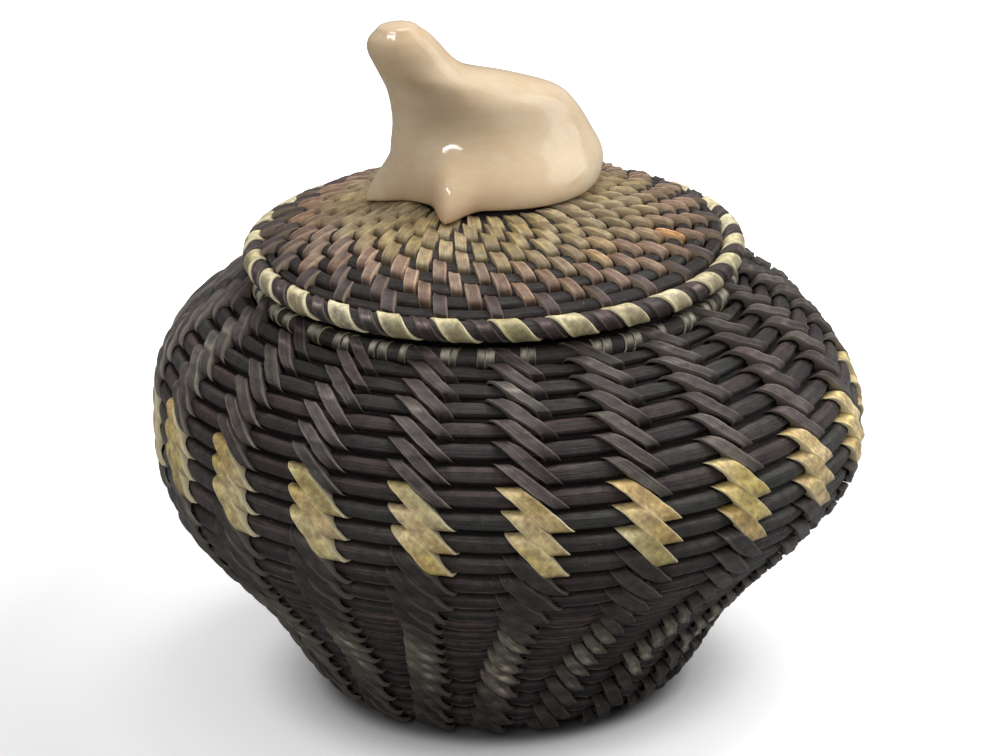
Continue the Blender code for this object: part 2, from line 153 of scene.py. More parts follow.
# How far the base's rods lie sunk, and the run round the base's end over which they rise
BASE_SUNK = 0.55
BASE_RISE = (-2.0, 3.5)
# Painted bounce light on the lower rods' lower edge, with darker faces and a little more squeeze,
# and the run up to the belly over which it ends
LOWER_ROD_LIGHT_AND_SQUEEZE = 5.0
LOWER_ROD_LIGHT_AND_SQUEEZE_END = (-12.0, -2.0)
# Distances from a column between which its strips stop pressing the rods in
PINCH_END = (2.4, 3.9)
# Lengths of the path between which the lower columns' pale bloom comes and goes
BLOOM_START = (19, 27)
BLOOM_END = (33, 41)

# Wraps of the mouth's rim: places between two columns, share missing, width, start and end
RIM_WRAP_PLACES = (0.24, 0.38, 0.70, 0.84)
RIM_WRAPS_BACK = 0.04
RIM_WRAPS_MISSING = 0.12
RIM_WRAP_WIDTH = 1.15
RIM_WRAP_TURN = (radians(-90), radians(210))

# Strips and rim wraps of the lid
LID_GROOVE = 0.34
LID_STRIP_WIDTH = 1.65
LID_STRIP_SHARE = 0.63
LID_STRIP_LEAN = 0.6
LID_STRIP_LIFT = 0.64
LID_WRAP_ANGLE = radians(3.7)
LID_WRAP_TURN = (radians(-100), radians(190))
LID_WRAP_SLANT = -4.6
PALE_WRAP_WIDTH = 3.35
DARK_WRAP_WIDTH = 1.9
DARK_WRAP_PLACE = 3.95

# The vessel's middle leans: the belly sits to the right and its rows fall towards the right
LEAN_HEIGHT = 36.0
LEAN_ASIDE = 1.6
LEAN_ASIDE_SPREAD = 9.0
LEAN_SLOPE = 0.035
LEAN_SLOPE_SPREAD = 12.0


def wander(x, y=0.0, z=0.0):
    """A smooth value between about -1 and 1 that goes with a place."""
    return noise.noise(Vector((x, y + 0.37, z + 0.61)))


def smooth_step(low, high, value):
    share = min(max((value - low) / (high - low), 0.0), 1.0)
    return share * share * (3 - 2 * share)


def bell(value, middle, spread):
    """A smooth hump that is 1 at its middle."""
    return exp(-((value - middle) / spread) ** 2)


def blend(one, other, share):
    return tuple(a + (b - a) * share for a, b in zip(one, other))


def shaded(colour, light):
    return tuple(light * part for part in colour)


def way(angle):
    """The direction of an angle in a plane."""
    return Vector((cos(angle), sin(angle)))


def turned(flat, angle):
    """A point of the radius and height plane, turned about Z from the front."""
    return Vector((flat.x * sin(angle), -flat.x * cos(angle), flat.y))


def arc_point(point, heading, bend, length):
    later = heading + bend * length
    return point + Vector((sin(later) - sin(heading), cos(heading) - cos(later))) / bend


class Path:
    """A line of straight runs and arcs in the plane of radius and height, read by its length."""

    def __init__(self, radius, height, heading=0.0, side=1):
        self.end = Vector((radius, height))
        self.heading = heading
        self.side = side
        self.length = 0.0
        self.runs = []

    def line(self, length):
        self.runs.append((self.length, self.end.copy(), self.heading, 0.0))
        self.end += length * way(self.heading)
        self.length += length
        return self

    def arc(self, radius, to_heading):
        turn = to_heading - self.heading
        bend = (1 if turn > 0 else -1) / radius
        self.runs.append((self.length, self.end.copy(), self.heading, bend))
        self.end = arc_point(self.end, self.heading, bend, abs(turn) * radius)
        self.length += abs(turn) * radius
        self.heading = to_heading
        return self

    def at(self, length):
        start, point, heading, bend = [run for run in self.runs if run[0] <= length or run[0] == 0][-1]
        beyond = length - start
        if bend:
            point = arc_point(point, heading, bend, beyond)
            heading += bend * beyond
        else:
            point = point + beyond * way(heading)
        along = way(heading)
        return point, along, self.side * Vector((along.y, -along.x))


@dataclass
class Coil:
    """A rod wound along a path, whose edges wander a little as handwork does."""

    path: Path
    end: float
    pitch: float
    angle: float
    hand: int
    seed: float
    wobble: float
    thinning: float = 0.0
    rim_row: float = 0.0

    def __post_init__(self):
        self.turns = self.turns_to(self.end)

    def turns_to(self, length):
        plain = length / self.pitch
        return 2 * plain / (1 + sqrt(1 - 4 * self.thinning * plain))

    def edge(self, turn):
        length = self.pitch * turn * (1 - self.thinning * turn)
        inside = min(max(min(length, self.end - length) / self.pitch, 0.0), 1.0)
        slow = wander(turn * 4.3, self.seed) + 0.4 * wander(turn * 17.0, self.seed + 5)
        return min(max(length + self.wobble * inside * slow, 0.0), self.end)

    def strip_edge(self, turn):
        """The edge for strips, which also cross the rim as one row more."""
        return self.edge(turn) + self.rim_row * min(max(turn - self.turns, 0.0), 1.0)

    def angle_at(self, turn):
        return self.angle + self.hand * turn * tau

    def part_turn(self, angle):
        return self.hand * (angle - self.angle) / tau

    def turn_at(self, length, steps):
        return ceil((self.turns_to(length) + 1) * steps) / steps

    def first_turn(self, steps):
        return ceil(self.turns_to(SPLICE_GAP + THINNEST_ROD) * steps) / steps

    def last_turn(self, steps):
        return floor((self.turns_to(self.end - SPLICE_GAP - THINNEST_ROD) + 1) * steps) / steps


class Skin:
    """Points and faces of one piece, with the pattern that its material follows.

    The strand of a point is its place along a strip or rod in millimetres, its place across from
    -1 to 1, and a number of its own for each strip. The tone is the colour there.
    """

    def __init__(self):
        self.points = []
        self.faces = []
        self.strands = []
        self.tones = []

    def tube(self, sections, closed=False):
        """Adds a tube from its sections, each of which has its points, strands and tones."""
        base = len(self.points)
        count = len(sections[0][0])
        total = len(sections)
        for points, strands, tones in sections:
            self.points.extend(points)
            self.strands.extend(strands)
            self.tones.extend(tones)
        for k in range(total if closed else total - 1):
            one = base + k * count
            other = base + (k + 1) % total * count
            for i in range(count):
                j = (i + 1) % count
                self.faces.append((one + i, one + j, other + j, other + i))
        if not closed:
            self.faces.append(tuple(range(base, base + count)))
            self.faces.append(tuple(range(len(self.points) - count, len(self.points))))


def leaned(point):
    """Where a point of the upright vessel comes to be on the leaning one."""
    aside = LEAN_ASIDE * bell(point.z, LEAN_HEIGHT, LEAN_ASIDE_SPREAD)
    fall = LEAN_SLOPE * point.x * bell(point.z, LEAN_HEIGHT, LEAN_SLOPE_SPREAD)
    return point + Vector((aside, 0, -fall))


def add_object(name, data):
    thing = bpy.data.objects.new(name, data)
    bpy.context.collection.objects.link(thing)
    return thing


def make_piece(name, skin, material, body, replaced=(), sharp=38):
    """A piece of the object from its skin. Edges with a greater angle than sharp stay sharp."""
    mesh = bpy.data.meshes.new(name)
    points = [leaned(point) for point in skin.points] if body == VESSEL else skin.points
    mesh.from_pydata([MM * point for point in points], [], skin.faces)
    strand = mesh.attributes.new("strand", "FLOAT_VECTOR", "POINT")
    strand.data.foreach_set("vector", [value for item in skin.strands for value in item])
    tone = mesh.attributes.new("tone", "FLOAT_COLOR", "POINT")
    tone.data.foreach_set("color", [value for item in skin.tones for value in (*item, 1.0)])
    whole = bmesh.new()
    whole.from_mesh(mesh)
    bmesh.ops.recalc_face_normals(whole, faces=whole.faces)
    whole.to_mesh(mesh)
    whole.free()
    mesh.shade_smooth()
    mesh.set_sharp_from_angle(angle=radians(sharp))
    mesh.materials.append(material)
    thing = add_object(name, mesh)
    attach(thing, body)
    if replaced:
        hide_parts(*replaced)
    return thing


# Materials


class Nodes:
    """Short ways to add nodes to a material or a world."""

    def __init__(self, owner):
        owner.use_nodes = True
        self.owner = owner
        self.tree = owner.node_tree
        self.shader = self.tree.nodes.get("Principled BSDF")

    def add(self, kind, **settings):
        node = self.tree.nodes.new(kind)
        for key, value in settings.items():
            setattr(node, key, value)
        return node

    def link(self, source, target):
        """Links an output to an input, or sets the input to a number, a vector or a colour."""
        if isinstance(source, (int, float)):
            target.default_value = source
        elif isinstance(source, tuple):
            target.default_value = (*source, 1.0) if target.type == "RGBA" else source
        else:
            self.tree.links.new(source, target)

    def fill(self, node, sources):
        for name, source in sources.items():
            self.link(source, node.inputs[name])

    def fed(self, kind, *values, **settings):
        """The first output of a new node, whose inputs are filled in their order."""
        node = self.add(kind, **settings)
        for value, socket in zip(values, node.inputs):
            self.link(value, socket)
        return node.outputs[0]

    def math(self, operation, *values):
        return self.fed("ShaderNodeMath", *values, operation=operation)

    def mix(self, share, one, other, blend_type="MIX"):
        node = self.add("ShaderNodeMix", data_type="RGBA", blend_type=blend_type)
        self.fill(node, {"Factor": share, "A": one, "B": other})
        return node.outputs["Result"]

    def span(self, value, low, high, to_low=0.0, to_high=1.0, kind="LINEAR"):
        return self.fed("ShaderNodeMapRange", value, low, high, to_low, to_high,
                        interpolation_type=kind)

    def noise(self, vector, scale=1.0, detail=3.0, roughness=0.55):
        node = self.add("ShaderNodeTexNoise")
        self.fill(node, {"Vector": vector, "Scale": scale, "Detail": detail, "Roughness": roughness})
        return node.outputs["Fac"]

    def stretched(self, vector, scale):
        return self.fed("ShaderNodeVectorMath", vector, scale, operation="MULTIPLY")

    def attribute(self, name, output):
        return self.add("ShaderNodeAttribute", attribute_name=name).outputs[output]

    def object_place(self):
        return self.add("ShaderNodeTexCoord").outputs["Object"]

    def bump(self, heights, distance):
        """Bumps from pairs of height and strength, one on top of another."""
        normal = None
        for height, strength in heights:
            node = self.add("ShaderNodeBump")
            self.fill(node, {"Strength": strength, "Distance": distance, "Height": height})
            if normal is not None:
                self.link(normal, node.inputs["Normal"])
            normal = node.outputs[0]
        self.link(normal, self.shader.inputs["Normal"])


def baleen(name, mottle, streaks, edge_colour, edge_share, roughness, ripple, fineness, specks=0.0):
    """Horn-like fibre: lengthwise streaks, cloudy patches, worn pale edges and a satin gloss."""
    n = Nodes(bpy.data.materials.new(name))
    strand = n.attribute("strand", "Vector")
    place = n.object_place()
    apart = n.add("ShaderNodeSeparateXYZ")
    n.link(strand, apart.inputs[0])
    across = n.math("ABSOLUTE", apart.outputs["Y"])
    fibre = n.noise(n.stretched(strand, (0.16, 5.0, 1.0)), detail=5.0, roughness=0.65)
    fine = n.noise(n.stretched(strand, (0.5, 16.0, 1.0)))
    patch = n.noise(place, fineness)
    cloud = n.noise(place, 90.0, 2.0)
    light = n.span(fibre, 0.3, 0.7, 1 - streaks, 1 + streaks)
    light = n.math("MULTIPLY", light, n.span(patch, 0.3, 0.7, 1 - mottle, 1 + mottle))
    light = n.math("MULTIPLY", light, n.span(cloud, 0.3, 0.7, 1 - 0.5 * mottle, 1 + 0.5 * mottle))
    value = n.add("ShaderNodeHueSaturation")
    n.fill(value, {"Hue": n.span(patch, 0.35, 0.65, 0.488, 0.512),
                   "Saturation": n.span(cloud, 0.35, 0.65, 1.15, 0.85),
                   "Value": light, "Color": n.attribute("tone", "Color")})
    edge = n.math("ADD", across, n.span(fine, 0.0, 1.0, -0.06, 0.06))
    edge = n.span(edge, 0.80, 0.95, 0.0, edge_share, "SMOOTHSTEP")
    colour = n.mix(edge, value.outputs[0], edge_colour)
    if specks:
        spot = n.noise(place, 2300.0, 2.0)
        colour = n.mix(n.span(spot, 0.70, 0.76, 0.0, specks), colour, (0.42, 0.38, 0.30))
    gloss = n.math("ADD", n.span(patch, 0.3, 0.7, roughness + 0.10, roughness - 0.06),
                   n.span(fine, 0.3, 0.7, -0.04, 0.06))
    n.fill(n.shader, {"Base Color": colour, "Roughness": gloss, "IOR": HORN_IOR,
                      "Specular IOR Level": 0.32})
    n.bump(((fibre, ripple), (fine, 0.5 * ripple), (patch, 0.5 * ripple)), 0.00025)
    return n.owner


def ivory(name, warm, roughness, toned=False):
    """Polished ivory: cream with warm clouds, faint grain lines and a soft inner glow."""
    n = Nodes(bpy.data.materials.new(name))
    place = n.object_place()
    cloud = n.noise(place, 70.0, 3.0, 0.6)
    patch = n.noise(n.stretched(place, (260.0, 260.0, 200.0)), detail=4.0, roughness=0.6)
    grain = n.noise(n.stretched(place, (250.0, 1500.0, 1500.0)), detail=4.0, roughness=0.6)
    colour = n.mix(n.span(cloud, 0.36, 0.66), (0.73, 0.585, 0.405), (0.64, 0.47, 0.29))
    colour = n.mix(n.span(patch, 0.45, 0.72, 0.0, 0.45), colour, warm)
    colour = n.mix(n.span(grain, 0.40, 0.75, 0.0, 0.16), colour, (0.45, 0.31, 0.18))
    if toned:
        colour = n.mix(1.0, colour, n.attribute("tone", "Color"), "MULTIPLY")
    gloss = n.span(patch, 0.3, 0.7, roughness - 0.03, roughness + 0.08)
    n.fill(n.shader, {"Base Color": colour, "Roughness": gloss, "IOR": HORN_IOR,
                      "Specular IOR Level": 0.30, "Subsurface Weight": 0.12,
                      "Subsurface Radius": (1.0, 0.6, 0.3), "Subsurface Scale": 0.002})
    n.bump(((patch, 0.08), (grain, 0.05)), 0.0002)
    return n.owner


HORN_IOR = 1.54

DARK = (0.031, 0.024, 0.023)
DARK_WARM = (0.045, 0.030, 0.028)
DARK_GREEN = (0.034, 0.032, 0.028)
STRIP_OLIVE = (0.076, 0.065, 0.053)
STRIP_PURPLE = (0.062, 0.045, 0.044)
STRIP_DARK = (0.027, 0.021, 0.020)
BLOOM = (0.17, 0.15, 0.115)
PALE = (0.60, 0.46, 0.20)
PALE_OLIVE = (0.51, 0.425, 0.20)
PALE_TAN = (0.60, 0.435, 0.20)
CREAM = (0.72, 0.62, 0.38)
CREAM_OLIVE = (0.52, 0.46, 0.25)
WRAP_GREY = (0.24, 0.23, 0.19)
WRAP_PALE = (0.52, 0.48, 0.38)
LID_INNER = (0.315, 0.235, 0.115)
LID_BROWN = (0.225, 0.140, 0.094)
LID_DARK = (0.060, 0.040, 0.036)
LID_ORANGE = (0.46, 0.26, 0.13)
LID_YELLOW = (0.58, 0.42, 0.17)
LID_BRIGHT = (0.40, 0.27, 0.15)
EDGE_PALE = (0.74, 0.66, 0.44)

# Name, mottle, streaks, colour and share of the edges, roughness, ripple, fineness and specks
dark_rod = baleen("baleen_rod", 0.30, 0.65, (0.06, 0.05, 0.045), 0.2, 0.40, 0.8, 700.0, 0.3)
dark_strip = baleen("baleen_dark_strip", 0.34, 0.55, (0.17, 0.15, 0.125), 0.6, 0.36, 0.7, 600.0, 0.3)
pale_strip = baleen("baleen_pale_strip", 0.34, 0.16, EDGE_PALE, 0.8, 0.40, 0.35, 1100.0)
brown_strip = baleen("baleen_brown_strip", 0.32, 0.34, (0.56, 0.46, 0.32), 0.35, 0.38, 0.45, 800.0)
ivory_seal = ivory("ivory_polished", (0.76, 0.64, 0.47), 0.10, toned=True)
ivory_plain = ivory("ivory_worn", (0.60, 0.44, 0.28), 0.36)


# Rods


def rod_ring(path, low, high, thickness, angle, swell, squeeze):
    """A section of a rod, whose front is squeezed narrower where stitches press on it."""
    middle, along, out = path.at((low + high) / 2)
    half = (high - low) / 2
    size = thickness / 2 if half > NARROWED_ROD else min(thickness / 2, half)
    return [turned(middle + share * (half - squeeze * (height > 0)) * along
                   + (height * size + swell * (height > 0)) * out, angle)
            for share, height, _ in ROD_SECTION]


def splice_number(turn, seed):
    """The number of the length of baleen that the rod is made of at a turn."""
    return floor(turn * SPLICES_PER_TURN + 0.4 * seed)


def rod_colour(turn, seed, dark=1.0):
    """Slow changes of hue along a rod, with a step where one length is spliced to the next."""
    slow = wander(turn * 1.7, seed)
    spliced = wander(splice_number(turn, seed) * 7.7, seed + 9.0)
    colour = blend(DARK, DARK_WARM, min(max(0.5 + slow + spliced, 0.0), 1.0))
    colour = blend(colour, DARK_GREEN, min(max(0.3 - slow + 1.2 * spliced, 0.0), 1.0))
    return shaded(colour, dark * (1.0 + 0.22 * slow + 0.35 * spliced))


def coil_rod(coil, first, last, thickness=ROD_THICKNESS, gap=GROOVE, steps=STEPS, recess=None,
             worn=None, pinch=None):
    """The rod of a coil between two turns.

    At a length of the path, recess gives how deep the rod lies, and worn how much painted bounce
    light its lower edge gets, how much darker its faces are and how much more it is squeezed. Pinch
    gives how far stitches press it in, from 0 to 1, at an angle and a radius.
    """
    skin = Skin()
    sections = []
    length = 0.0
    before = None
    for step in range(round((last - first) * steps) + 1):
        turn = first + step / steps
        low = coil.edge(turn - 1) + gap / 2
        high = coil.edge(turn) - gap / 2
        middle = 0.5 * (low + high)
        angle = coil.angle_at(turn)
        number = splice_number(turn, coil.seed)
        swell = 0.07 * wander(turn * 9.0, coil.seed + 2) + 0.03 * wander(turn * 41.0, coil.seed + 3)
        swell += 0.10 * wander(number * 3.1, coil.seed + 4)
        if recess:
            swell -= recess(middle)
        pressed = pinch(angle, coil.path.at(middle)[0].x) if pinch else 0.0
        swell -= PRESSED_DEPTH * pressed
        lower_light_and_squeeze = worn(middle) if worn else 0.0
        squeeze = (PRESSED_SQUEEZE + LOWER_SQUEEZE * lower_light_and_squeeze) * pressed
        ring = rod_ring(coil.path, low, high, thickness, angle, swell, squeeze)
        if before is not None:
            length += (ring[FACE_POINT] - before).length
        before = ring[FACE_POINT]
        colour = rod_colour(turn, coil.seed, 0.88 - 0.02 * lower_light_and_squeeze)
        strand = [(length, share, coil.seed * 10 + number) for share, _, _ in ROD_SECTION]
        # Tones: the section's painted light and shade, with painted bounce light on the lower rods' lower
        # edge
        tones = [shaded(colour, light * (1 - 0.07 * lower_light_and_squeeze) + lower_light_and_squeeze * PAINTED_LIGHT_POINTS.get(index, 0.0))
                 for index, (_, _, light) in enumerate(ROD_SECTION)]
        sections.append((ring, strand, tones))
    skin.tube(sections)
    return skin


def round_rod(centre, width, thickness, seed, segments=200, sides=16):
    """A closed ring of nearly round rod."""
    skin = Skin()
    sections = []
    for step in range(segments):
        angle = step * tau / segments
        near = way(angle)
        swell = 1 + 0.05 * wander(3 * near.x, 3 * near.y, seed)
        ring = []
        for side in range(sides):
            turn = (side + 0.5) * tau / sides
            flat = centre + 0.5 * swell * Vector((width * cos(turn), thickness * sin(turn)))
            ring.append(turned(flat, angle))
        strand = [(angle * centre.x, 1 - abs(2 * side / sides - 1) * 2, seed) for side in range(sides)]
        sections.append((ring, strand, [rod_colour(1.5 + 0.5 * near.x, seed)] * sides))
    skin.tube(sections, closed=True)
    return skin


# Strips


def strip(skin, spot, stations, tone, seed, light_at, lift_scale=1.0, twist=0.0, hollow=1.0,
          thickness=STITCH_THICKNESS):
    """One flat strip laid over rods.

    The spot of a station and a place across is a point of the rods' face and the way out of it.
    Light_at gives the strip's painted light and shade at a station and a place across; its underside
    is painted dark, as shade.
    """
    sections = []
    for t, lift in stations:
        if lift > 0:
            lift *= lift_scale
        shade = 1 + 0.08 * wander(t * 1.3, seed * 0.71)
        depth = thickness + KEEL * bell(t, KEEL_ROW, KEEL_SPREAD)
        edge = [(v, lift + hollow * height + twist * v, light_at(t, v)) for v, height in FLAT_FORM]
        edge += [(v, lift - depth + twist * v, UNDERSIDE_LIGHT) for v in UNDERSIDE]
        ring = []
        for v, height, _ in edge:
            point, out = spot(t, v)
            ring.append(point + height * out)
        sections.append((ring, [(t * ROW_LENGTH, v, seed) for v, _, _ in edge],
                         [shaded(tone, shade * light) for _, _, light in edge]))
    skin.tube(sections)


def upper_unit(radius):
    """Width of a stitch at a radius, as an angle."""
    return min(STITCH_WIDTH / radius, STITCH_SHARE * tau / COLUMNS)


def lower_unit(radius):
    full = smooth_step(NARROW_RADIUS, NARROW_RADIUS + NARROWING_RUN, radius)
    width = LOWER_STITCH_WIDTH + full * (STITCH_WIDTH - LOWER_STITCH_WIDTH)
    return min(width / radius, STITCH_SHARE * tau / COLUMNS)


def lower_drift(radius):
    """The columns of the lower half lean aside more and more towards the foot."""
    return -LOWER_DRIFT * (max(DRIFT_START - radius, 0.0) / DRIFT_RUN) ** 1.6


# How strips lie. Lean from row to row and width are in stitch widths; taper and head are the
# shares by which the lower and the upper end are narrowed.
StripKind = namedtuple(
    "StripKind", "lean width taper head lift taper_from twist hollow unit_at drift_at",
    defaults=(1.25, 0.0, 1.0, upper_unit, lambda radius: 0.0))
LIGHT_KIND = StripKind(0.88, 1.04, 0.08, 0.08, 0.78)
UPPER_KIND = StripKind(0.95, 0.78, 0.20, 0.20, 0.72, twist=-0.03, hollow=1.1)
LOWER_KIND = StripKind(1.02, 0.98, 0.55, 0.25, 0.92, 1.10, unit_at=lower_unit, drift_at=lower_drift)
HEAD_RUN = 0.45


def column_spot(coil, angle, line, kind, size, offset, tilt, face):
    """Places on a strip of a stitch column: its upper end is at a line between rows."""
    path = coil.path
    width = kind.width * size

    def spot(t, v):
        row_line = line - t
        radius = path.at(coil.strip_edge(row_line + coil.part_turn(angle)))[0].x
        narrow = 1 - kind.taper * smooth_step(kind.taper_from, 2.0, t)
        v = -1 + (v + 1) * (1 - kind.head * smooth_step(HEAD_RUN, 0.0, t))
        across = kind.lean * (t - 1) + 0.5 * width * (1 - (1 - v) * narrow) + offset + tilt * (t - 1)
        place = angle + kind.drift_at(radius) + across * kind.unit_at(radius)
        flat, _, out = path.at(coil.strip_edge(row_line + coil.part_turn(place)))
        return turned(flat + face * out, place), turned(out, place)

    return spot


def bend_light(strength, crease, ridge, border, glow=0.0):
    """How light a strip is, in painted light and shade: a painted highlight where it bends over a rod
    and along a ridge, painted rim light along its border, painted light near its upper end, and
    painted shade at its lower end, where it goes under the next strip.

    Glow makes its middle paler, where it's worn.
    """

    def light_at(t, v):
        bend = bell(t, crease, 0.13) * (1 - 0.5 * v * v)
        side = smooth_step(0.8, 0.92, v) + 0.4 * smooth_step(0.8, 0.92, -v)
        under = 1 - 0.5 * smooth_step(1.6, 2.0, t)
        light = 1 + strength * bend + 0.35 * bell(t, 0.22, 0.12) + ridge * bell(v, 0.34, 0.10)
        worn = 1 + glow * bell(v, -0.1, 0.42) * bell(t, 1.0, 0.45)
        return (light + border * side) * under * worn

    return light_at


def lid_light(border):
    """How light a strip of the lid is, in painted light: a painted highlight along its edges, strongest
    on the right, a little lighter in the middle, and painted shade at its ends, where it goes under.
    """

    def light_at(t, v):
        side = smooth_step(0.72, 0.92, v) + 0.7 * smooth_step(0.8, 0.95, -v)
        ends = 1 - 0.55 * smooth_step(1.62, 2.0, t) - 0.55 * smooth_step(0.36, 0.0, t)
        return (1 + border * side + 0.12 * bell(t, 1.1, 0.4)) * ends

    return light_at


def vessel_path():
    path = Path(BASE_DISC_RADIUS + DISC_GAP, BASE_LIFT + ROD_THICKNESS / 2)
    path.line(BASE_FLAT_RADIUS - path.end.x)
    path.arc(BASE_EDGE_RADIUS, FOOT_SLOPE)
    foot_start = path.length
    path.line(FOOT_LENGTH)
    path.arc(WAIST_RADIUS, UNDERSIDE_SLOPE)
    underside_start = path.length
    path.line(UNDERSIDE_LENGTH)
    path.arc(BELLY_RADIUS, SHOULDER_SLOPE)
    belly = path.length - BELLY_RADIUS * (SHOULDER_SLOPE - pi / 2)
    path.line(SHOULDER_LENGTH)
    return path, foot_start, underside_start, belly


def build_vessel():
    path, foot_start, underside_start, belly = vessel_path()
    rim = path.length - RIM_ROD / 2
    coil = Coil(path, rim - RIM_ROD / 2, ROD_PITCH, FRONT_COLUMN_ANGLE, hand=1, seed=1.0, wobble=0.1,
                thinning=ROD_THINNING, rim_row=RIM_ROD)
    base_end = foot_start - BASE_EDGE_RADIUS * FOOT_SLOPE

    def recess(length):
        return BASE_SUNK * (1 - smooth_step(*BASE_RISE, length - base_end))

    # How much painted bounce light the lower rods get on their lower edge, how much darker their faces
    # are and how much more they are squeezed
    def worn(length):
        return LOWER_ROD_LIGHT_AND_SQUEEZE * (1 - smooth_step(*LOWER_ROD_LIGHT_AND_SQUEEZE_END, length - belly))

    def pinch(angle, radius):
        beyond = (angle - coil.angle - lower_drift(radius)) * COLUMNS / tau
        return 1 - smooth_step(*PINCH_END, abs(beyond - round(beyond)) * tau / COLUMNS * radius)

    light_bottom = ceil(coil.turns_to(belly))
    light_top = light_bottom + LIGHT_STITCHES - 1
    turns = (
        ("rod_base", "base_coil", coil.turn_at(base_end, COLUMNS)),
        ("rod_foot", "foot_coil", coil.turn_at(underside_start, COLUMNS)),
        ("rod_lower", "lower_coil", float(light_bottom - 1)),
        ("rod_belly", "belly_coil", float(light_top + 1)),
        ("rod_upper", "upper_coil", coil.last_turn(COLUMNS)),
    )
    begin = coil.first_turn(COLUMNS)
    for name, node, last in turns:
        skin = coil_rod(coil, begin, last, recess=recess, worn=worn, pinch=pinch)
        make_piece(name, skin, dark_rod, VESSEL, [node])
        begin = last
    build_columns(coil, light_bottom, light_top, base_end, recess)
    build_rim(coil, path, rim)
    return path, rim


def build_columns(coil, light_bottom, light_top, base_end, recess):
    """The columns of strips. The light rows of the columns past half a turn stand one row lower."""
    dice = random.Random(11)
    vary = dice.uniform
    upper = Skin()
    lower = Skin()
    underside = Skin()
    for number in range(COLUMNS):
        angle = coil.angle_at(number / COLUMNS)
        part_turn = coil.part_turn(angle)
        light = Skin()
        late = 1 if part_turn > 0.5 else 0
        flatter = 1 - FAR_SIDE_FLATTER * smooth_step(-0.1, 0.3, -cos(angle))
        highest = floor(coil.turns - part_turn + 0.6) + 1
        lowest = ceil(1.0 - part_turn) + 2
        for line in range(lowest, highest + 1):
            seed = vary(0, 100)
            offset = vary(-0.04, 0.04)
            tilt = vary(-0.05, 0.05)
            twist = vary(-0.10, 0.06)
            size = 1 + vary(-0.08, 0.06)
            tall = (1 + vary(-0.08, 0.14)) * flatter
            grey = vary(-1, 1)
            crease = vary(1.08, 1.22)
            along = coil.edge(line - 1 + part_turn)
            if light_bottom <= line + late <= light_top:
                skin, kind = light, LIGHT_KIND
                tone = blend(PALE, PALE_OLIVE if grey > 0 else PALE_TAN, abs(grey))
                tone = shaded(tone, 1 + vary(-0.16, 0.12))
                light_at = bend_light(0.22, crease, 0.0, 0.2)
            elif line + late > light_top:
                skin, kind = upper, UPPER_KIND
                tone = blend(STRIP_OLIVE, STRIP_PURPLE, 0.5 + 0.5 * grey)
                tone = shaded(tone, 1 + vary(-0.25, 0.35))
                light_at = bend_light(dice.choice((0.5, 0.8, 1.3, 2.6)), crease - 0.42, 0.25, 1.7)
                tall *= RIM_STRIP_LIFT if line == highest else 1.0
            else:
                low = along < base_end + BASE_STRIP_RUN
                skin, kind = underside if low else lower, LOWER_KIND
                bloom = smooth_step(*BLOOM_START, along) * (1 - smooth_step(*BLOOM_END, along))
                bloom *= 1 + 0.5 * grey
                tone = blend(STRIP_DARK, STRIP_OLIVE, 0.22 + 0.2 * grey)
                tone = blend(tone, BLOOM, min(0.72 * bloom, 1.0))
                light_at = bend_light(0.35, crease, 0.2, 0.3, 2.4 * bloom)
                tall *= BASE_STRIP_LIFT if low else 1.0
            face = ROD_THICKNESS / 2 - recess(along)
            spot = column_spot(coil, angle, line, kind, size, offset, tilt, face)
            strip(skin, spot, LIFT, tone, seed, light_at, kind.lift * tall, twist + kind.twist,
                  kind.hollow)
        make_piece(f"light_strips_{number + 1:02d}", light, pale_strip, VESSEL,
                   [f"light_stitches_{number + 1:02d}"])
    for name, skin in (("upper", upper), ("lower", lower), ("base", underside)):
        make_piece(f"{name}_dark_strips", skin, dark_strip, VESSEL)


def ring_spot(centre, size, angle, width, slant, start, end):
    """Places on a strip that is wound round a ring of rod."""

    def spot(t, v):
        turn = start + (end - start) * t / 2
        place = angle + (0.5 * width * v + slant * (t / 2 - 0.5)) / centre.x
        out = way(turn)
        return turned(centre + size * out, place), turned(out, place)

    return spot


def wrap_light(border, inner, shine=0.0):
    """Wraps are pale along both edges, painted lighter near their top where light falls, duller inside,
    and shine gives a painted highlight on their crest.
    """

    def light_at(t, v):
        side = smooth_step(0.66, 0.86, abs(v))
        crest = smooth_step(1.00, 1.16, t)
        gleam = shine * bell(t, 0.98, 0.07) * (1 - smooth_step(0.6, 0.8, abs(v)))
        return inner + (border - inner) * max(side, crest) + gleam

    return light_at


def mark_light(t, v):
    """The small wraps of the mouth are painted light on top of the rod, where light falls, and painted
    dark below, as shade.
    """
    return 0.16 + 1.15 * bell(t, 0.90, 0.19) * (1 - 0.4 * abs(v))


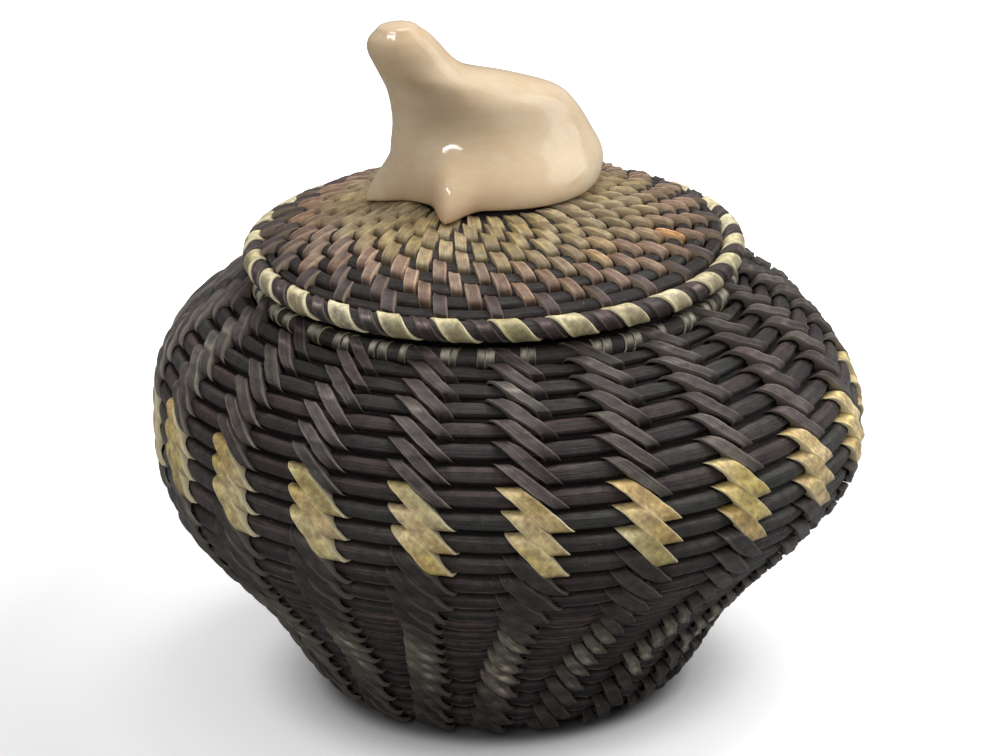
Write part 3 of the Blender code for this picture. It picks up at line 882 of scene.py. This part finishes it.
def build_rim(coil, path, rim):
    """The rod of the mouth, with pairs of small light wraps between the columns of strips."""
    middle, _, _ = path.at(rim)
    rod = round_rod(middle, RIM_ROD - 0.1, RIM_ROD, 4.0)
    make_piece("rim_rod_round", rod, dark_rod, VESSEL, ["rim_rod"])
    wraps = Skin()
    dice = random.Random(23)
    spacing = tau / COLUMNS
    for number in range(COLUMNS):
        angle = coil.angle_at(number / COLUMNS) - RIM_WRAPS_BACK
        for share in RIM_WRAP_PLACES:
            if dice.random() < RIM_WRAPS_MISSING:
                continue
            tone = blend(WRAP_GREY, WRAP_PALE, dice.random())
            place = angle + (share + dice.uniform(-0.03, 0.03)) * spacing
            width = RIM_WRAP_WIDTH * (1 + dice.uniform(-0.35, 0.15))
            slant = dice.uniform(0.2, 1.2)
            spot = ring_spot(middle, RIM_ROD / 2 + 0.1, place, width, slant, *RIM_WRAP_TURN)
            strip(wraps, spot, WRAP_LIFT, tone, dice.uniform(0, 100), mark_light, hollow=0.8,
                  thickness=0.3)
    make_piece("rim_wraps", wraps, pale_strip, VESSEL)


def disc_skin(skin, radius, low, high, hole, seed):
    """A turned plate with rounded rims and a hole for the peg."""
    section = []
    soft = min(0.45, (high - low) / 3)
    for centre, start in (((radius - soft, low + soft), -pi / 2), ((radius - soft, high - soft), 0.0)):
        for step in range(5):
            turn = start + step * pi / 8
            section.append(Vector(centre) + soft * way(turn))
    section.append(Vector(((radius + hole) / 2, high + 0.05)))
    section.append(Vector((hole, high)))
    section.append(Vector((hole, low)))
    count = len(section)
    sections = []
    for step in range(72):
        angle = step * tau / 72
        ring = [turned(point, angle) for point in section]
        sections.append((ring, [(angle * radius, 0.0, seed)] * count, [(1.0, 1.0, 1.0)] * count))
    skin.tube(sections, closed=True)


def dome_drop(dome, radius):
    return dome - sqrt(dome ** 2 - radius ** 2)


def lid_path(rim_radius, rim_height):
    dome = (rim_radius ** 2 + LID_RISE ** 2) / (2 * LID_RISE)
    slope = asin((LID_DISC_RADIUS + DISC_GAP) / dome) - LID_TURNS_ON_DISC * LID_PITCH / dome
    inner = dome * sin(slope)
    height = rim_height + LID_RISE - dome_drop(dome, inner)
    path = Path(inner, height, heading=-slope, side=-1)
    return path.arc(dome, -asin(rim_radius / dome)), dome


def lid_spot(coil, angle, line, width, lean, offset, rim_radius):
    """Places on a strip of a lid arm, whose outer end is at a line; its radius and its angle."""
    path = coil.path
    radius = path.at(coil.edge(line - 1 + coil.part_turn(angle)))[0].x
    arm = angle + LID_SWIRL * log(radius / rim_radius)

    def spot(t, v):
        row_line = line - 2 + t
        near = path.at(coil.strip_edge(row_line + coil.part_turn(arm)))[0].x
        room = LID_STRIP_SHARE * tau * near / LID_COLUMNS
        leaf = 1 - 0.24 * smooth_step(0.4, 0.0, t) - 0.10 * smooth_step(1.7, 2.0, t)
        place = arm + (0.5 * min(width, room) * leaf * v + lean * (t - 1) + offset) / near
        flat, _, out = path.at(coil.strip_edge(row_line + coil.part_turn(place)))
        return turned(flat + ROD_THICKNESS / 2 * out, place), turned(out, place)

    return spot, radius, arm


LID_ODD_STRIPS = (
    (radians(68), 22.0, LID_ORANGE),
    (radians(49), 21.8, LID_YELLOW),
    (radians(35.5), 21.8, LID_BRIGHT),
)


def arm_tone(radius, angle, dice):
    """The lid's strips go from pale olive in the middle through brown to black at the rim."""
    near = radius + dice.uniform(-1.0, 1.0)
    tone = blend(LID_INNER, LID_BROWN, smooth_step(17.5, 22.0, near))
    tone = blend(tone, LID_DARK, smooth_step(24.4, 26.4, near))
    tone = shaded(tone, 1 + dice.uniform(-0.24, 0.2))
    for odd_angle, odd_radius, odd_tone in LID_ODD_STRIPS:
        apart = (angle - odd_angle + pi) % tau - pi
        if abs(apart) * radius < 1.9 and abs(radius - odd_radius) < 1.05:
            tone = odd_tone
    return tone


def build_lid(vessel, rim):
    rim_middle, _, _ = vessel.at(rim)
    rim_radius = rim_middle.x + LID_OVERHANG
    rim_height = rim_middle.y + RIM_ROD / 2 + RIM_WRAPS_GAP + LID_RIM_ROD / 2
    path, dome = lid_path(rim_radius, rim_height)
    coil = Coil(path, path.length - LID_RIM_ROD / 2, LID_PITCH, FRONT_COLUMN_ANGLE, hand=-1, seed=2.0,
                wobble=0.07)
    rods = coil_rod(coil, coil.first_turn(20), coil.last_turn(20), gap=LID_GROOVE, steps=120)
    make_piece("lid_rods", rods, dark_rod, LID, ["lid_coil"])

    dice = random.Random(37)
    vary = dice.uniform
    for number in range(LID_COLUMNS):
        angle = LID_COLUMN_ANGLE + number * tau / LID_COLUMNS
        arm = Skin()
        lowest = ceil(-coil.part_turn(angle)) + 2
        highest = floor(coil.turns - coil.part_turn(angle) + 0.5)
        for line in range(lowest, highest + 1):
            size = LID_STRIP_WIDTH * (1 + vary(-0.12, 0.10))
            lean = LID_STRIP_LEAN + vary(-0.12, 0.12)
            aside = vary(-0.12, 0.12)
            spot, radius, place = lid_spot(coil, angle, line, size, lean, aside, rim_radius)
            strip(arm, spot, LID_LIFT, arm_tone(radius, place, dice), vary(0, 100),
                  lift_scale=LID_STRIP_LIFT + vary(-0.1, 0.14), twist=vary(-0.18, -0.02), hollow=1.3,
                  light_at=lid_light(0.35 + vary(0.6, 1.6) * smooth_step(18, 22, radius)))
        make_piece(f"lid_arm_{number + 1:02d}", arm, brown_strip, LID,
                   [f"lid_stitches_{number + 1:02d}"])

    build_lid_rim(path.at(path.length)[0], dice)
    build_flange(path, dome, rim_middle.x - RIM_ROD / 2 - FLANGE_CLEARANCE)
    build_finial(path, dome)


def build_lid_rim(centre, dice):
    """The rod of the lid's edge, wound with pale and dark wraps in turn."""
    rim_rod = round_rod(centre, LID_RIM_ROD - 0.35, LID_RIM_ROD - 0.15, 6.0)
    make_piece("lid_rim_rod_round", rim_rod, dark_rod, LID, ["lid_rim_rod"])
    pale = Skin()
    dark = Skin()
    around = LID_RIM_ROD / 2 + 0.15
    for number in range(LID_COLUMNS):
        angle = LID_WRAP_ANGLE + number * tau / LID_COLUMNS
        tone = shaded(blend(CREAM, CREAM_OLIVE, 0.6 * dice.random()), 1 + dice.uniform(-0.06, 0.06))
        width = PALE_WRAP_WIDTH * (1 + dice.uniform(-0.06, 0.06))
        spot = ring_spot(centre, around, angle, width, LID_WRAP_SLANT, *LID_WRAP_TURN)
        strip(pale, spot, WRAP_LIFT, tone, dice.uniform(0, 100), wrap_light(1.08, 0.52), hollow=0.9,
              thickness=0.35)
        tone = blend(DARK, DARK_WARM, dice.random())
        width = DARK_WRAP_WIDTH * (1 + dice.uniform(-0.08, 0.08))
        spot = ring_spot(centre, around - 0.05, angle + DARK_WRAP_PLACE / centre.x, width, LID_WRAP_SLANT,
                         *LID_WRAP_TURN)
        strip(dark, spot, WRAP_LIFT, tone, dice.uniform(0, 100),
              wrap_light(1.9, 1.0, dice.choice((1.5, 4.0, 7.0))), hollow=0.9, thickness=0.35)
    make_piece("lid_rim_pale_wraps", pale, pale_strip, LID)
    make_piece("lid_rim_dark_wraps", dark, dark_strip, LID)


def build_flange(path, dome, outside):
    start = path.at(0)[0]
    slope = asin(outside / dome)
    dome_top = start.y + dome_drop(dome, start.x)
    under = dome_top - dome_drop(dome, outside) - ROD_THICKNESS / 2 / cos(slope)
    down = Path(outside - FLANGE_ROD_THICKNESS / 2, under - SEAT_GAP, heading=-pi / 2, side=-1)
    pitch = FLANGE_ROD_HEIGHT + 0.3
    down.line(FLANGE_TURNS * pitch)
    coil = Coil(down, down.length, pitch, FRONT_COLUMN_ANGLE, hand=-1, seed=3.0, wobble=0.04)
    rods = coil_rod(coil, coil.first_turn(16), coil.last_turn(16), FLANGE_ROD_THICKNESS, gap=0.3,
                    steps=96)
    make_piece("flange_rods", rods, dark_rod, LID, ["lid_flange"])


# Seal: level, front end, rear end and half width of each of its outlines
SEAL_TURN = radians(20)
SEAL_ASIDE = 1.5
SEAL_OUTLINES = (
    (0.0, -11.0, 13.2, 6.4),
    (1.2, -11.6, 14.2, 6.9),
    (3.0, -12.2, 14.7, 7.2),
    (5.6, -12.6, 13.7, 7.0),
    (9.0, -12.3, 11.9, 6.4),
    (11.6, -12.5, 9.4, 5.9),
    (13.8, -13.0, 3.7, 5.0),
    (15.4, -13.7, -2.0, 4.5),
    (17.0, -14.5, -4.4, 4.0),
    (19.2, -15.4, -6.2, 3.6),
    (20.7, -15.1, -7.5, 3.0),
    (21.6, -14.1, -8.8, 2.2),
)
SEAL_TOP = 22.3
SEAL_EDGE = 0.4
SEAL_SIDES = 144
# Rings of the underside: share of the lowest outline, and level
SEAL_UNDERSIDE = (
    (0.02, 0.0), (0.3, 0.0), (0.55, 0.0), (0.75, 0.0), (0.88, 0.0), (0.95, 0.0), (0.99, 0.12),
)
NEAR_SIDE = radians(272)
NEAR_SPREAD = radians(50)
NEAR_HEIGHT = 5.0
NEAR_FULLNESS = 5.0
# Angle, reach, height and spread of the flippers, which get wider with their level
FLIPPERS = (
    (radians(163), 5.6, 5.4, radians(25)),
    (radians(235), 4.9, 8.5, radians(10)),
)
FLIPPER_WIDENING = 0.12
CHEST_ANGLE = radians(226)
CHEST_SPREAD = radians(24)
CHEST_HOLLOW = 1.3
CHEST_LEVEL = 11.0
CHEST_HEIGHT = 5.0
CHEST_SHADE = 0.24
ROSY = (1.0, 0.86, 0.82)


def seal_outline(level, front, rear, half_width):
    """A level outline and its tones: an oval, full on the near side, with flippers and a chest."""
    points = []
    tones = []
    chest = bell(level, CHEST_LEVEL, CHEST_HEIGHT)
    near = NEAR_FULLNESS * bell(level, 0.0, NEAR_HEIGHT)
    for i in range(SEAL_SIDES):
        angle = i * tau / SEAL_SIDES
        bulge = near * bell(angle, NEAR_SIDE, NEAR_SPREAD)
        for corner, reach, height, spread in FLIPPERS:
            fade = max(0.0, 1 - level / height) ** 1.4
            beyond = abs(angle - corner) / (spread * (1 + FLIPPER_WIDENING * level))
            bulge += fade * reach * (0.6 * exp(-1.6 * beyond ** 2) + 0.4 * exp(-1.8 * beyond))
        bulge -= CHEST_HOLLOW * (chest * bell(angle, CHEST_ANGLE, CHEST_SPREAD))
        point = Vector(((front + rear) / 2 + (rear - front) / 2 * cos(angle), half_width * sin(angle)))
        points.append(point + bulge * way(angle) + Vector((0, SEAL_ASIDE)))
        tip = bell(level, 0.0, 1.6) * bell(angle, FLIPPERS[1][0], radians(16))
        shade = 1 - CHEST_SHADE * chest * bell(angle, CHEST_ANGLE, radians(30))
        tones.append(shaded(blend((1.0, 1.0, 1.0), ROSY, tip), shade))
    return points, tones


def between(table, level):
    """A row of a table at a level between its rows, on a smooth curve through them."""
    for k in range(len(table) - 1):
        if level <= table[k + 1][0]:
            break
    before = table[max(k - 1, 0)]
    one = table[k]
    other = table[k + 1]
    after = table[min(k + 2, len(table) - 1)]
    t = (level - one[0]) / (other[0] - one[0])
    result = []
    for a, b, c, d in zip(before[1:], one[1:], other[1:], after[1:]):
        first = (c - a) / 2
        second = (d - b) / 2
        result.append((2 * t ** 3 - 3 * t ** 2 + 1) * b + (t ** 3 - 2 * t ** 2 + t) * first
                      + (3 * t ** 2 - 2 * t ** 3) * c + (t ** 3 - t ** 2) * second)
    return result


def seal_skin(seat, dome):
    """The seal, whose foot sags a little to follow the dome of the lid."""
    skin = Skin()
    spin = Matrix.Rotation(SEAL_TURN, 3, "Z")
    strands = [(0.0, 0.0, 0.0)] * SEAL_SIDES
    sections = []

    def placed(flat, level):
        sag = max(0.0, dome_drop(dome, flat.length) - 0.4) * max(0.0, 1 - level / 4) ** 1.5
        return spin @ Vector((flat.x, flat.y, seat + level - sag))

    base, tones = seal_outline(*SEAL_OUTLINES[0])
    for scale, level in SEAL_UNDERSIDE:
        sections.append(([placed(scale * point, level) for point in base], strands, tones))
    top_level, front, rear, _ = SEAL_OUTLINES[-1]
    for step in range(61):
        level = SEAL_EDGE + (top_level - SEAL_EDGE) * step / 60
        outline, tones = seal_outline(level, *between(SEAL_OUTLINES, level))
        sections.append(([placed(point, level) for point in outline], strands, tones))
    middle = Vector(((front + rear) / 2, SEAL_ASIDE))
    for step in range(1, 8):
        turn = step * pi / 2 / 8
        level = top_level + (SEAL_TOP - top_level) * sin(turn)
        ring = [placed(middle + cos(turn) * (point - middle), level) for point in outline]
        sections.append((ring, strands, tones))
    skin.tube(sections)
    return skin


# The hub under the seal: depth of its wide foot under the rods, its height over the rods, holes
HUB_FOOT_DEPTH = 0.45
HUB_FOOT_GAP = 0.02
HUB_RISE = 0.8
PEG_HOLE = 1.8
BASE_DISC_HOLE = 0.6
BASE_DISC_BOTTOM = 0.02


def build_finial(path, dome):
    """The seal on a turned hub, whose wide thin foot lies under the first turns of the lid."""
    inner = path.at(0)[0]
    crown = inner.y + dome_drop(dome, inner.x)
    under = crown - dome_drop(dome, LID_DISC_RADIUS) - ROD_THICKNESS / 2
    seat = crown - dome_drop(dome, LID_DISC_RADIUS) + ROD_THICKNESS / 2 + HUB_RISE + SEAT_GAP
    skin = Skin()
    disc_skin(skin, LID_DISC_RADIUS, under - HUB_FOOT_DEPTH, under - HUB_FOOT_GAP, PEG_HOLE, 1.0)
    disc_skin(skin, inner.x - DISC_GAP, under, seat - SEAT_GAP, PEG_HOLE, 1.5)
    make_piece("lid_disc", skin, ivory_plain, LID, ["lid_starter_disc"])
    seal = make_piece("seal_carved", seal_skin(seat, dome), ivory_seal, LID, ["finial_seal"],
                      sharp=80)
    smooth = seal.modifiers.new("smooth", "SMOOTH")
    smooth.iterations = 6
    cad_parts["finial_peg"].data.materials.clear()
    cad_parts["finial_peg"].data.materials.append(ivory_plain)


def build_base_disc():
    """The turned disc in the middle of the underside."""
    skin = Skin()
    disc_skin(skin, BASE_DISC_RADIUS, BASE_DISC_BOTTOM, ROD_THICKNESS, BASE_DISC_HOLE, 2.0)
    make_piece("base_disc", skin, ivory_plain, VESSEL, ["base_starter_disc"])


# Floor, light and camera


# Distances from the middle between which the floor's painted contact shadow round the foot ends,
# its painted glow that lightens the object's shadow comes and goes near the object, and it turns
# white far away
FOOT_SHADE_END = (0.0205, 0.025)
NEAR_GLOW_START = (0.0215, 0.034)
NEAR_GLOW_END = (0.044, 0.068)
FAR_GLOW_START = (0.078, 0.16)
FLOOR_HALF = 3.0
# Steepness of a direction, from and to, and the strength of the room's light there
ROOM_LIGHT = (-0.2, 1.0, 0.14, 0.60)
# Name, place, target, size, power, and whether it shows in soft light and in gloss
LAMPS = (
    ("key", (0.16, 0.10, 0.62), (0, 0, 0.04), (0.34, 0.34), 2.25, True, True),
    ("side", (0.55, 0.05, 0.40), (0, 0, 0.04), (0.40, 0.40), 1.6, True, True),
    ("front", (-0.30, -0.75, 0.55), (0, 0, 0.04), (0.50, 0.40), 1.9, True, False),
    ("slim", (-0.16, -0.34, 0.72), (0, 0, 0.07), (0.34, 0.035), 1.8, False, True),
)


def build_floor():
    """Pale to the camera, duller as a source of bounced light, with a painted contact shadow round the
    foot and a painted glow that lightens the object's shadow near it, and white far from the object.
    """
    n = Nodes(bpy.data.materials.new("pale_floor"))
    n.tree.nodes.remove(n.shader)
    seen = n.add("ShaderNodeLightPath").outputs["Is Camera Ray"]
    place = n.object_place()
    soft = n.noise(place, 6.0, 2.0)
    away = n.add("ShaderNodeVectorMath", operation="LENGTH")
    n.link(place, away.inputs[0])
    distance = away.outputs["Value"]
    shown = n.mix(n.span(soft, 0.3, 0.7), (0.95, 0.95, 0.95), (0.98, 0.98, 0.98))
    # Painted contact shadow on the floor round the foot
    shown = n.mix(n.span(distance, *FOOT_SHADE_END, 0.8, 0.0, "SMOOTHSTEP"), shown, (0.05, 0.05, 0.05))
    plain = n.fed("ShaderNodeBsdfDiffuse", n.mix(seen, (0.36, 0.36, 0.36), shown))
    # Painted glow, seen only by the camera, that lightens the object's shadow near it
    near_glow = n.math("MULTIPLY", n.span(distance, *NEAR_GLOW_START, 0.0, 0.37, "SMOOTHSTEP"),
                       n.span(distance, *NEAR_GLOW_END, 1.0, 0.0, "SMOOTHSTEP"))
    far_glow = n.span(distance, *FAR_GLOW_START, 0.0, 0.7)
    glow = n.math("MULTIPLY", seen, n.math("ADD", near_glow, far_glow))
    glow = n.fed("ShaderNodeEmission", (1.0, 1.0, 1.0), glow)
    total = n.fed("ShaderNodeAddShader", plain, glow)
    n.link(total, n.tree.nodes["Material Output"].inputs["Surface"])
    mesh = bpy.data.meshes.new("floor")
    corners = [(x * FLOOR_HALF, y * FLOOR_HALF, 0) for x, y in ((-1, -1), (1, -1), (1, 1), (-1, 1))]
    mesh.from_pydata(corners, [], [(0, 1, 2, 3)])
    mesh.materials.append(n.owner)
    floor = add_object("floor", mesh)


def build_world():
    """White to the camera, and a dim room that is lighter overhead for everything else."""
    n = Nodes(bpy.data.worlds.new("studio"))
    apart = n.add("ShaderNodeSeparateXYZ")
    n.link(n.add("ShaderNodeTexCoord").outputs["Generated"], apart.inputs[0])
    room = n.span(apart.outputs["Z"], *ROOM_LIGHT)
    seen = n.add("ShaderNodeLightPath").outputs["Is Camera Ray"]
    n.fill(n.tree.nodes["Background"],
           {"Color": (1.0, 1.0, 1.0), "Strength": n.math("MAXIMUM", seen, room)})
    bpy.context.scene.world = n.owner


def add_lamp(name, place, target, size, power, soft, gloss):
    lamp = bpy.data.lights.new(name, "AREA")
    lamp.shape = "RECTANGLE"
    lamp.size, lamp.size_y = size
    lamp.energy = power
    thing = add_object(name, lamp)
    thing.visible_diffuse = soft
    thing.visible_glossy = gloss
    thing.location = place
    thing.rotation_euler = (Vector(target) - Vector(place)).to_track_quat("-Z", "Y").to_euler()


CAMERA_PLACE = (0.0, -0.65398, 0.29276)
CAMERA_DOWN = radians(21.12)
CAMERA_ROLL = radians(1.15)
IMAGE_WIDTH = 1008
FOCAL_PIXELS = 5547
AXIS_LEFT_PIXELS = 7.6
SENSOR = 36.0


def build_camera():
    camera = bpy.data.cameras.new("camera")
    camera.sensor_width = SENSOR
    camera.lens = FOCAL_PIXELS / IMAGE_WIDTH * SENSOR
    thing = add_object("camera", camera)
    turn = Matrix.Rotation(pi / 2 - CAMERA_DOWN, 4, "X")
    turn = turn @ Matrix.Rotation(-CAMERA_ROLL, 4, "Z")
    turn = turn @ Matrix.Rotation(-AXIS_LEFT_PIXELS / FOCAL_PIXELS, 4, "Y")
    thing.matrix_world = Matrix.Translation(CAMERA_PLACE) @ turn
    bpy.context.scene.camera = thing


vessel, rim = build_vessel()
build_base_disc()
build_lid(vessel, rim)
build_floor()
build_world()
for lamp in LAMPS:
    add_lamp(*lamp)
build_camera()
bpy.context.scene.view_settings.view_transform = "Standard"
